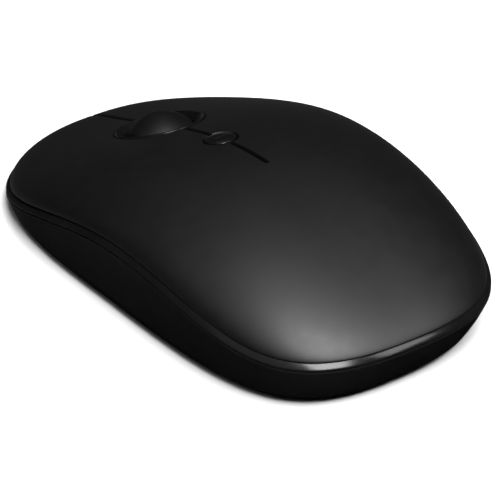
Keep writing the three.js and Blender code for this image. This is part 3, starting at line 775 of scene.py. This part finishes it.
def tray():
    """Rings of the lower shell's skin, from its inner floor over the rim to its base."""
    angle = round_angles(360)
    step = 0.01
    floor = side_points(angle, 0.85, LOWER_WALL + 0.8)
    floor[:, 2] = FLOOR_Z
    inner_wall = side_points(angle, 0.7, LOWER_WALL)
    inner_wall[:, 2] = np.maximum(inner_wall[:, 2], FLOOR_Z + step)
    rings = [floor, inner_wall]
    for inward, drop in ((LOWER_WALL, 0), (0.14, 0), (0.04, 0.04), (0, 0.14)):
        edge = side_points(angle, 0, inward)
        edge[:, 2] = np.maximum(edge[:, 2], FLOOR_Z + 2 * step) - drop
        rings.append(edge)
    straight = 0.8
    for down in np.linspace(0.08, straight, 14):
        rings.append(side_points(angle, down, 0))
    for turn in np.linspace(0.15, 1, 9) * math.pi / 2:
        down = straight + (1 - straight) * math.sin(turn)
        rings.append(side_points(angle, down, BASE_ROUND * (1 - math.cos(turn))))
    return rings


def add_towers(piece):
    """The towers that the screws go through, with their holes."""
    (case_x, case_y), (board_x, board_y) = CASE_SCREW, BOARD_SCREW
    case_radius, case_top, case_bore, seat_z = 3.4, 8.6, 1.15, 2.7
    board_radius, board_top, board_bore, bore_bottom = 2.4, BOARD_BOTTOM - GAP, 1.0, 2.2
    rooted, counterbore, flare = FLOOR_Z - 0.5, HEAD_RADIUS + 0.5, 0.2
    case = turned([
        (case_radius - 0.2, case_top), (case_radius, case_top - 0.2), (case_radius, rooted)], 48)
    board = turned([
        (board_radius - 0.1, board_top), (board_radius, board_top - 0.1), (board_radius, rooted)], 48)
    case_hole = turned([
        (case_bore, case_top + 0.4), (case_bore, seat_z), (counterbore, seat_z),
        (counterbore, BASE_Z + flare), (counterbore + flare, BASE_Z), (counterbore + flare, 0)], 48)
    board_hole = turned([(board_bore, BOARD_TOP + 0.2), (board_bore, bore_bottom)], 32)
    for side in (-1, 1):
        combine(piece, moved(case, side * case_x, case_y), "UNION")
        combine(piece, moved(board, side * board_x, board_y), "UNION")
        combine(piece, moved(case_hole, side * case_x, case_y), "DIFFERENCE")
        combine(piece, moved(board_hole, side * board_x, board_y), "DIFFERENCE")


def add_receiver_bay(piece):
    """The receiver's bay, with a notch in front of it for a fingernail."""
    wall, clearance, corner = 1.0, 0.3, 0.4
    width, length = RECEIVER_SIZE[0] + 2 * clearance, RECEIVER_FRONT - RECEIVER_REAR + 2 * clearance
    middle, roof = (RECEIVER_FRONT + RECEIVER_REAR) / 2, BASE_Z + RECEIVER_SIZE[2] + 0.5
    bay = soft_box(
        RECEIVER_X, middle, width + 2 * wall, length + 2 * wall, FLOOR_Z - 0.5, roof + wall, 0.15, corner)
    notch = mouth(RECEIVER_X, RECEIVER_FRONT + 0.4, 8, 4, 1.8, BASE_Z + 0.7)
    combine(piece, bay, "UNION")
    combine(piece, mouth(RECEIVER_X, middle, width, length, corner, roof), "DIFFERENCE")
    combine(piece, notch, "DIFFERENCE")


def add_battery_bay(piece):
    """The walls of the battery's cradle, and the opening that the door closes.

    The opening's corners are tighter than the door's, which leaves the door room to swing.
    """
    wall, wall_top, seat = 1.0, 8, 0.3
    middle, length = (DOOR_REAR + DOOR_FRONT) / 2, DOOR_FRONT - DOOR_REAR
    for side in (-1, 1):
        x = side * (CRADLE_X + wall / 2)
        combine(piece, soft_box(x, middle, wall, length - 0.8, FLOOR_Z - 0.2, wall_top), "UNION")
    opening = mouth(
        0, middle, 2 * (DOOR_X + seat), length + 2 * seat, DOOR_ROUND - seat, FLOOR_Z + 0.1)
    cell_room = soft_box(0, middle, 2 * CRADLE_X, length, FLOOR_Z, BOARD_TOP, 0.1, 0.3)
    combine(piece, opening, "DIFFERENCE")
    combine(piece, cell_room, "DIFFERENCE")


def add_openings(piece):
    """The pockets of the feet, the sensor's window and the power switch's slot."""
    through, margin = FLOOR_Z + 1, 0.2
    combine(piece, mouth(0, SENSOR_Y, 6, 8, 2, through, 0.3), "DIFFERENCE")
    combine(piece, mouth(POWER_X, POWER_Y, 3.6, 8, 1.2, through, 0.3), "DIFFERENCE")
    for x, y, width, length in FEET.values():
        pocket = mouth(
            x, y, width + 2 * margin, length + 2 * margin, FOOT_ROUND + margin, FOOT_RECESS, 0.15)
        combine(piece, pocket, "DIFFERENCE")


def lower_body():
    piece = make_object("lower_body", *loft(tray()))
    add_towers(piece)
    add_receiver_bay(piece)
    add_battery_bay(piece)
    add_openings(piece)
    shade_flats(piece)
    place(piece, "casing", "shell_matte", "lower_shell")


# ---- Underside --------------------------------------------------------------------------------

def feet():
    for where, (x, y, width, length) in FEET.items():
        rings = rounded_plate(x, y, width, length, FOOT_ROUND, soft_levels(0, FOOT_TOP, 0.25))
        piece = make_object(f"slide_foot_{where}", *loft(rings))
        shade_flats(piece)
        place(piece, "casing", "foot_slide", f"foot_{where}")


def door_panel():
    """The battery door: a soft-edged plate with a ribbed thumb notch."""
    middle, length = (DOOR_REAR + DOOR_FRONT) / 2, DOOR_FRONT - DOOR_REAR
    notch_y, rib_pitch = DOOR_FRONT - 4, 0.9
    levels = soft_levels(BASE_Z, FLOOR_Z, 0.15)
    piece = make_object("door_panel", *loft(rounded_plate(0, middle, 2 * DOOR_X, length, DOOR_ROUND, levels)))
    combine(piece, mouth(0, notch_y, 9, 3.4, 1.6, BASE_Z + 0.4), "DIFFERENCE")
    for row in (-1, 0, 1):
        rib = soft_box(0, notch_y + rib_pitch * row, 6, 0.44, BASE_Z + 0.05, BASE_Z + 0.6, 0.1)
        combine(piece, rib, "UNION")
    shade_flats(piece)
    place(piece, "battery_door", "shell_matte", "battery_door")


def screw_piece(name, node, x, y, head_bottom, tip):
    """A pan-headed screw with a cross recess, pointing up or down to its tip."""
    upwards = tip > head_bottom
    head_face = head_bottom if upwards else head_bottom + HEAD_HEIGHT
    reach = abs(tip - head_face)
    profile = [(HEAD_RADIUS * 0.55, 0), (HEAD_RADIUS * 0.85, -0.08), (HEAD_RADIUS, -0.4)]
    profile += [(HEAD_RADIUS, -HEAD_HEIGHT), (SHANK_RADIUS, -HEAD_HEIGHT)]
    profile += [(SHANK_RADIUS, 0.5 - reach), (SHANK_RADIUS * 0.4, -reach)]
    piece = make_object(name, *loft(turned(profile, 40)))
    arm, slot = 2.2, 0.5
    for width, length in ((arm, slot), (slot, arm)):
        combine(piece, soft_box(0, 0, width, length, -0.7, 1, 0.05, 0.1), "DIFFERENCE")
    shade_flats(piece)
    points = np.empty(len(piece.data.vertices) * 3)
    piece.data.vertices.foreach_get("co", points)
    points = points.reshape(-1, 3)
    if upwards:
        points *= (1, -1, -1)
    points += np.array((x, y, head_face)) * MM
    piece.data.vertices.foreach_set("co", points.ravel())
    piece.data.update()
    place(piece, "casing", "bright_steel", node)


def screws():
    case_head = 1.2
    for hand, side in (("left", -1), ("right", 1)):
        screw_piece(
            f"casing_screw_{hand}", f"case_screw_{hand}", side * CASE_SCREW[0], CASE_SCREW[1],
            case_head, CASE_SCREW_TIP)
        screw_piece(
            f"pcb_screw_{hand}", f"board_screw_{hand}", side * BOARD_SCREW[0], BOARD_SCREW[1],
            BOARD_TOP + GAP, BOARD_SCREW_TIP)


def slider_knob():
    """The power switch's slider, with three ribs under the finger."""
    middle, plate_bottom, rib_bottom = POWER_Y - 1.6, FLOOR_Z + GAP, BASE_Z - 0.2
    plate = soft_box(POWER_X, middle, 4.6, 5.4, plate_bottom, plate_bottom + 0.9)
    piece = make_object("slider_knob", *loft(plate))
    knob = soft_box(POWER_X, middle, 3, 4, BASE_Z, FLOOR_Z + 0.3, 0.2, 0.5)
    combine(piece, knob, "UNION")
    for row in (-1, 0, 1):
        rib = soft_box(POWER_X, middle + row, 2.2, 0.45, rib_bottom, rib_bottom + 0.6, 0.15)
        combine(piece, rib, "UNION")
    shade_flats(piece)
    place(piece, "power_slider", "part_white", "power_slider")


def lens_window():
    """The sensor's clear plate, with a domed lens below it."""
    plate = soft_box(0, SENSOR_Y, 9.4, 8.4, FLOOR_Z + GAP, BOARD_BOTTOM - 0.2, 0.15, 1.5)
    piece = make_object("lens_window", *loft(plate))
    dome = turned([(2.2, 2.4), (2.2, 1.7), (1.9, 1.45), (1.3, 1.33), (0.5, 1.3)], 48)
    combine(piece, moved(dome, 0, SENSOR_Y), "UNION")
    shade_flats(piece)
    place(piece, "casing", "clear_lens", "sensor_lens")


# ---- Receiver ---------------------------------------------------------------------------------

def receiver_cap():
    width, length, height = RECEIVER_SIZE
    middle = RECEIVER_FRONT - length / 2
    levels = soft_levels(RECEIVER_Z, RECEIVER_Z + height, 0.5, 5)
    piece = make_object("receiver_cap", *loft(rounded_plate(RECEIVER_X, middle, width, length, 1.2, levels)))
    dimple = mouth(RECEIVER_X, middle, 8, 2.6, 1.2, RECEIVER_Z + 0.35, 0.25, RECEIVER_Z)
    combine(piece, dimple, "DIFFERENCE")
    shade_flats(piece)
    place(piece, "usb_receiver", "part_black", "receiver_body")


def connector_sleeve():
    """The metal sleeve of the plug, with its two latch windows."""
    width, height = PLUG_SIZE
    levels = [(1, -PLUG_WALL), (PLUG_LENGTH - 0.1, -PLUG_WALL), (PLUG_LENGTH, 0.1 - PLUG_WALL)]
    levels += [(PLUG_LENGTH, -0.1), (PLUG_LENGTH - 0.1, 0), (0, 0)]
    rings = facing_rear(rounded_plate(0, 0, width, height, 0.5, levels), RECEIVER_X, PLUG_FRONT, PLUG_Z)
    piece = make_object("connector_sleeve", *loft(rings))
    for side in (-1, 1):
        window = soft_box(
            RECEIVER_X + side * 2.9, RECEIVER_REAR + 5.4, 2.3, 2.2, PLUG_Z - height, PLUG_Z + height, 0.05)
        combine(piece, window, "DIFFERENCE")
    finish_shading(piece, 30)
    place(piece, "usb_receiver", "bright_steel", "receiver_plug")


def connector_tongue():
    """The plastic tongue in the sleeve, with four gilt contacts on it."""
    width, height = PLUG_SIZE
    top, middle, contact_pitch = PLUG_Z - 0.1, (RECEIVER_REAR + PLUG_FRONT) / 2 + 0.4, 2.3
    tongue = soft_box(
        RECEIVER_X, middle, width - 2 * PLUG_WALL - 0.2, PLUG_LENGTH - 1.2,
        PLUG_Z - height / 2 + PLUG_WALL + 0.02, top, 0.1)
    place(make_object("connector_tongue", *loft(tongue)), "usb_receiver", "part_black")
    for number in range(4):
        x = RECEIVER_X + (number - 1.5) * contact_pitch
        contact = soft_box(x, middle, 1, PLUG_LENGTH - 2.4, top + 0.01, top + 0.16, 0.05)
        piece = make_object(f"connector_contact_{number + 1}", *loft(contact))
        place(piece, "usb_receiver", "bright_steel")
        piece.data.materials[0] = MATERIALS["contact_gold"]


# ---- Battery ----------------------------------------------------------------------------------

def cell_can():
    """The cell's steel can, with its button at the front and a dished rear end."""
    end, shoulder, side = CELL_LENGTH, CELL_SHOULDER, CAN_RADIUS
    profile = [(1.5, end), (1.85, end - 0.2), (1.9, end - 1.0), (4.1, end - 1.1), (4.4, end - 1.3)]
    profile += [(side - 0.5, shoulder), (side, shoulder - 0.6), (side, 0.5), (side - 0.4, 0.05)]
    profile += [(4.2, 0), (3.9, 0.15)]
    piece = make_object("cell_can", *loft(facing_front(turned(profile), 0, CELL_REAR, CELL_Z)), 25)
    place(piece, "casing", "bright_steel", "battery_cell")


def cell_wrap():
    """The film shrunk over the can, out along its outside and back along its inside."""
    shoulder, outside, inside = CELL_SHOULDER, CELL_RADIUS, CAN_RADIUS
    profile = [(inside - 0.75, shoulder + 0.12), (inside - 0.4, shoulder + 0.12)]
    profile += [(outside - 0.1, shoulder - 0.35), (outside, shoulder - 0.7), (outside, 0.55)]
    profile += [(outside - 0.15, 0.2), (inside - 0.35, 0), (inside - 0.8, -0.05)]
    profile += [(inside - 0.8, 0.04), (inside - 0.36, 0.08), (inside + 0.01, 0.5)]
    profile += [(inside + 0.01, shoulder - 0.6), (inside - 0.5, shoulder + 0.02)]
    rings = facing_front(turned(profile), 0, CELL_REAR, CELL_Z)
    place(make_object("cell_wrap", *loft(rings, closed=True), 40), "casing", "cell_sleeve")


def contact_plate(name, y, *nodes):
    bottom, height, thickness = 3.6, 7.6, 0.5
    rings = soft_box(0, 0, 2 * (CRADLE_X - GAP), height, -thickness / 2, thickness / 2, 0.08, 0.6)
    piece = make_object(name, *loft(facing_rear(rings, 0, y, bottom + height / 2)))
    place(piece, "casing", "bright_steel", *nodes)


def cone_spring():
    """The rear contact's spring, which narrows towards the cell."""
    turns, wire, rear, travel = 2.5, 0.25, CELL_REAR - 2.5, 2.1
    wide, narrowing = 4.1, 1.9
    share = np.linspace(0, 1, 121)
    angle, radius = share * turns * 2 * math.pi, wide - narrowing * share
    path = np.stack([radius * np.cos(angle), rear + travel * share, CELL_Z + radius * np.sin(angle)], -1)
    forward = np.gradient(path, axis=0)
    forward /= np.linalg.norm(forward, axis=1, keepdims=True)
    outwards = np.stack([np.cos(angle), np.zeros_like(angle), np.sin(angle)], -1)
    sideways = np.cross(forward, outwards)
    section = round_angles(12)
    rings = [
        middle + wire * (np.cos(section)[:, None] * out + np.sin(section)[:, None] * side)
        for middle, out, side in zip(path, outwards, sideways)
    ]
    place(make_object("cone_spring", *loft(rings)), "casing", "bright_steel", "battery_spring")


# ---- Wheel and speed button -------------------------------------------------------------------

def bezel_ring(angle, share, drop, shrink=0.0):
    """A ring below the cover's surface, from the round outside (0) to the squarer inside (1)."""
    outer = BEZEL_OUTER - shrink
    across, along = (outer + (inner - BEZEL_OUTER) * share for inner in BEZEL_INNER)
    a, u = superellipse(angle, 2 + share)
    x, y = across * a, OPENING_Y + along * u
    return np.stack([x, y, cover_height(x, y) - drop], -1)


def opening_bezel():
    """The wheel's ring: a slim raised lip, a dish that falls to the wheel, and a skirt outside."""
    angle = round_angles(160)
    crest, crest_share = 0.22, 0.24
    lip = ((0.4, -crest), (0.26, 0.03 - crest), (0.12, 0.1 - crest), (0.03, 0.23 - crest), (0, 0.3))
    rings = [bezel_ring(angle, 0, drop, shrink) for shrink, drop in lip]
    rings.append(bezel_ring(angle, 0, BEZEL_THICKNESS + 0.9))
    rings.append(bezel_ring(angle, 1, BEZEL_DISH + BEZEL_THICKNESS))
    rings.append(bezel_ring(angle, 1, BEZEL_DISH + 0.15))
    for inwards in np.linspace(0.97, 0, 14):
        share = crest_share + (1 - crest_share) * inwards
        rings.append(bezel_ring(angle, share, (BEZEL_DISH + crest) * inwards**1.15 - crest))
    piece = make_object("opening_bezel", *loft(rings, closed=True), 60)
    place(piece, "casing", "trim_gloss", "wheel_bezel")


def about_axle(profile, count=128):
    """Closed rings about the wheel's axle from (radius, x) pairs."""
    rings = turned(profile, count)
    return [np.stack([r[:, 2], WHEEL_Y + r[:, 1], WHEEL_Z - r[:, 0]], -1) for r in rings]


def scroll_tyre():
    bore = HUB_RADIUS + 0.05
    profile = [(bore, -WHEEL_HALF_WIDTH)]
    side = WHEEL_HALF_WIDTH - 0.35
    edge_radius = WHEEL_RADIUS - WHEEL_CROWN * WHEEL_HALF_WIDTH**2
    profile += [(edge_radius - 0.5, -WHEEL_HALF_WIDTH), (edge_radius - 0.12, -WHEEL_HALF_WIDTH + 0.06)]
    for x in np.linspace(-side, side, 41):
        profile.append((WHEEL_RADIUS - WHEEL_CROWN * x * x, x))
    profile += [(edge_radius - 0.12, WHEEL_HALF_WIDTH - 0.06), (edge_radius - 0.5, WHEEL_HALF_WIDTH)]
    profile += [(bore, WHEEL_HALF_WIDTH)]
    piece = make_object("scroll_tyre", *loft(about_axle(profile[::-1]), closed=True), 50)
    place(piece, "wheel", "wheel_rubber", "wheel_tyre")


def axle_sleeves():
    """Sleeves on the axle that keep the wheel midway between the carrier's cheeks."""
    bore, rim = 1.26, 1.6
    near, far = WHEEL_HALF_WIDTH + 0.1, 8.0
    for hand, side in (("left", -1), ("right", 1)):
        profile = [(bore, side * near), (rim, side * near), (rim, side * far), (bore, side * far)]
        sleeve = make_object(f"axle_sleeve_{hand}", *loft(about_axle(profile, 48), closed=True))
        place(sleeve, "wheel", "part_black")


def speed_rise(radius):
    """How far the speed button's dome stands over the cover's surface, by distance from its middle."""
    height, fullness = 0.42, 2.6
    return height * (1 - (radius / SPEED_RADIUS) ** fullness)


def speed_bar():
    """Rings of the slim bar raised across the speed button."""
    width, length, corner = 2.6, 0.42, 0.16
    rings = []
    for grow, rise in ((-0.08, 0.1), (-0.02, 0.07), (0, 0), (0, -0.3)):
        x, y = rounded_outline(0, SPEED_Y, width, length, corner, grow).T
        top = cover_height(x, y) + speed_rise(np.hypot(x, y - SPEED_Y))
        rings.append(np.stack([x, y, top + rise], -1))
    return rings


def speed_key():
    """The pointer-speed button: a low dome with a slim raised bar across it, and a stem below."""
    angle = round_angles(96)
    edge, skirt, stem_radius, stem_bottom = 0.3, 3.2, 1.3, 10.05

    def dome(radius, rise):
        x, y = radius * np.cos(angle), SPEED_Y + radius * np.sin(angle)
        return np.stack([x, y, cover_height(x, y) + rise], -1)

    flat = SPEED_RADIUS - edge
    rings = [dome(radius, speed_rise(radius)) for radius in np.linspace(0.1, flat, 16)]
    for turn in np.linspace(0.2, 1, 5) * math.pi / 2:
        rings.append(dome(flat + edge * math.sin(turn), speed_rise(flat) - edge * (1 - math.cos(turn))))
    bottom = float(cover_height(0, SPEED_Y)) - skirt
    below = ((SPEED_RADIUS, bottom), (stem_radius + 0.2, bottom))
    below += ((stem_radius, bottom - 0.2), (stem_radius, stem_bottom))
    for radius, z in below:
        ring = dome(radius, 0)
        ring[:, 2] = z
        rings.append(ring)
    piece = make_object("speed_key", *loft(rings), 50)
    combine(piece, speed_bar(), "UNION")
    finish_shading(piece, 50)
    place(piece, "speed_button", "trim_gloss", "speed_button")


# ---- CAD pieces kept as they are --------------------------------------------------------------

def repaint_frame():
    for subpart in frame["record"]["subparts"]:
        node = frame["nodes"][subpart["node"]]
        for material_slot in node.material_slots:
            material_slot.material = MATERIALS[subpart["material_slot"]]


# ---- Scene ------------------------------------------------------------------------------------

def plain_floor():
    size = 4.0
    mesh = bpy.data.meshes.new("floor")
    below = -0.02 * MM
    corners = [(-size, -size, below), (size, -size, below), (size, size, below), (-size, size, below)]
    mesh.from_pydata(corners, [], [(0, 1, 2, 3)])
    floor = bpy.data.objects.new("floor", mesh)
    bpy.context.scene.collection.objects.link(floor)
    paper = (0.92, 0.92, 0.92)
    mesh.materials.append(surface("floor_paper", paper, paper, (0.9, 0.95), (2, 0.01), 0.1, wear=0.0))
    floor.visible_glossy = False


def softbox(name, azimuth, elevation, distance, size, radiance):
    """A square soft light over the mouse, placed by its direction. Distances are in metres."""
    turn, rise = math.radians(azimuth), math.radians(elevation)
    back = Vector((math.sin(turn) * math.cos(rise), -math.cos(turn) * math.cos(rise), math.sin(rise)))
    light = bpy.data.lights.new(name, "AREA")
    light.size = size
    light.energy = radiance * math.pi * size**2
    lamp = bpy.data.objects.new(name, light)
    lamp.location = back * distance
    lamp.rotation_euler = (-back).to_track_quat("-Z", "Y").to_euler()
    bpy.context.scene.collection.objects.link(lamp)


def backdrop():
    """A plain backdrop lit in levels by the height of a direction, where -1 is straight down."""
    levels = ((-1, 0), (-0.66, 0), (-0.44, 0.2), (-0.25, 0.1), (-0.05, 0.02), (0.05, 0.01), (1, 0.004))
    world = bpy.data.worlds.new("studio")
    world.use_nodes = True
    tree = world.node_tree
    direction = tree.nodes.new("ShaderNodeTexCoord")
    split = tree.nodes.new("ShaderNodeSeparateXYZ")
    tree.links.new(direction.outputs["Generated"], split.inputs["Vector"])
    ramp = tree.nodes.new("ShaderNodeValToRGB")
    while len(ramp.color_ramp.elements) < len(levels):
        ramp.color_ramp.elements.new(0.5)
    for element, (height, level) in zip(ramp.color_ramp.elements, levels):
        element.position = (height + 1) / 2
        element.color = (level, level, level, 1)
    lifted = tree.nodes.new("ShaderNodeMapRange")
    lifted.inputs["From Min"].default_value = -1
    tree.links.new(split.outputs["Z"], lifted.inputs["Value"])
    tree.links.new(lifted.outputs["Result"], ramp.inputs["Fac"])
    tree.links.new(ramp.outputs["Color"], tree.nodes["Background"].inputs["Color"])
    bpy.context.scene.world = world


def studio():
    bpy.context.scene.view_settings.view_transform = "Standard"
    backdrop()
    softbox("rear_softbox", -18, 58, 1.0, 0.42, 27)
    softbox("right_softbox", 36, 47, 1.0, 0.3, 10)
    softbox("left_softbox", -75, 58, 1.3, 1.0, 0.5)
    softbox("top_softbox", 60, 86, 1.3, 0.8, 1.6)
    softbox("front_softbox", 150, 50, 1.6, 0.8, 0.3)


def photo_camera():
    data = bpy.data.cameras.new("photo_camera")
    data.lens = CAMERA_LENS
    data.sensor_width = 36
    camera = bpy.data.objects.new("photo_camera", data)
    camera.location = Vector(CAMERA_AT) * MM
    aim = Vector(CAMERA_AIM) - Vector(CAMERA_AT)
    camera.rotation_euler = aim.to_track_quat("-Z", "Y").to_euler()
    bpy.context.scene.collection.objects.link(camera)
    bpy.context.scene.camera = camera


repaint_frame()
top_cover()
slit_guard()
rim_band()
lower_body()
feet()
door_panel()
screws()
slider_knob()
lens_window()
receiver_cap()
connector_sleeve()
connector_tongue()
cell_can()
cell_wrap()
cone_spring()
contact_plate("rear_contact", CELL_REAR - 2.7)
contact_plate("front_contact", CELL_FRONT + 0.4, "battery_contact")
opening_bezel()
scroll_tyre()
axle_sleeves()
speed_key()
plain_floor()
studio()
photo_camera()
